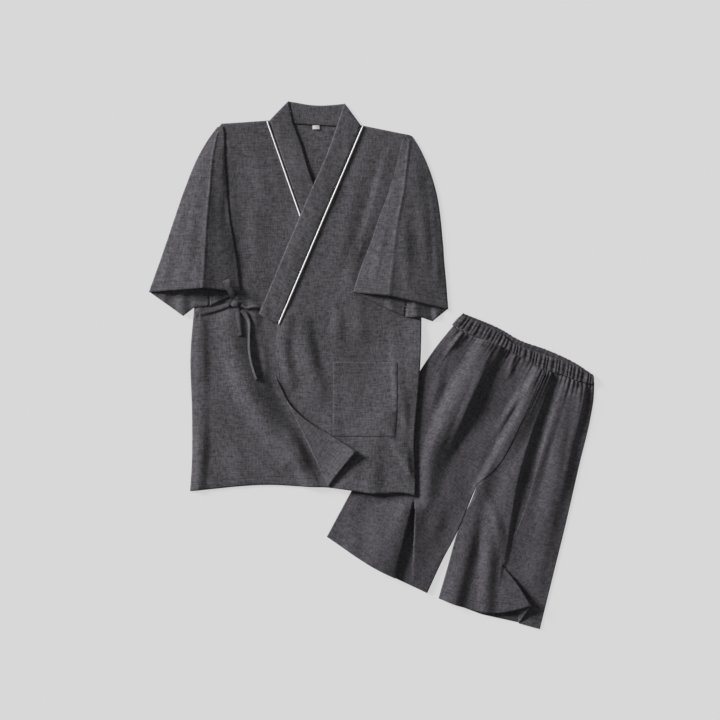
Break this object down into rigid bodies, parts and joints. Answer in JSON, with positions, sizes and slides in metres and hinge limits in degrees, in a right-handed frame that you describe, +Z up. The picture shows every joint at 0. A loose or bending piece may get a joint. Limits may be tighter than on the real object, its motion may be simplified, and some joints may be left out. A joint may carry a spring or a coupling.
{
  "type": "jinbei set laid flat",
  "caption": "Flat-laid jinbei set: wrapped jacket with half sleeves, piped collar, patch pocket and tied side, with gathered shorts under one corner.",
  "frame": {"origin": "middle of the whole set on the surface it lies on", "axes": "+Z up from the surface, +Y from the jacket's hem to its collar, +X towards the wearer's left"},
  "size_m": [0.9358, 1.111, 0.0254],
  "materials": {
    "charcoal_chambray": "matt slubbed plain-weave cotton",
    "white_piping": "white cotton piping",
    "white_label": "blank white woven tape"
  },
  "bodies": {
    "root": {"jacket_back": "charcoal_chambray", "jacket_right_front": "charcoal_chambray", "jacket_left_front": "charcoal_chambray", "jacket_right_sleeve": "charcoal_chambray", "jacket_left_sleeve": "charcoal_chambray", "jacket_collar": "charcoal_chambray", "jacket_left_piping": "white_piping", "jacket_right_piping": "white_piping", "jacket_pocket": "charcoal_chambray", "jacket_neck_label": "white_label", "jacket_side_tie": "charcoal_chambray", "jacket_side_tie_loop": "charcoal_chambray", "jacket_side_tie_tail": "charcoal_chambray", "jacket_front_tie": "charcoal_chambray", "jacket_front_tie_tail": "charcoal_chambray", "jacket_tie_knot": "charcoal_chambray", "shorts_right_leg_back": "charcoal_chambray", "shorts_right_leg_front": "charcoal_chambray", "shorts_left_leg_back": "charcoal_chambray", "shorts_left_leg_front": "charcoal_chambray", "shorts_waistband": "charcoal_chambray"}
  },
  "joints": []
}
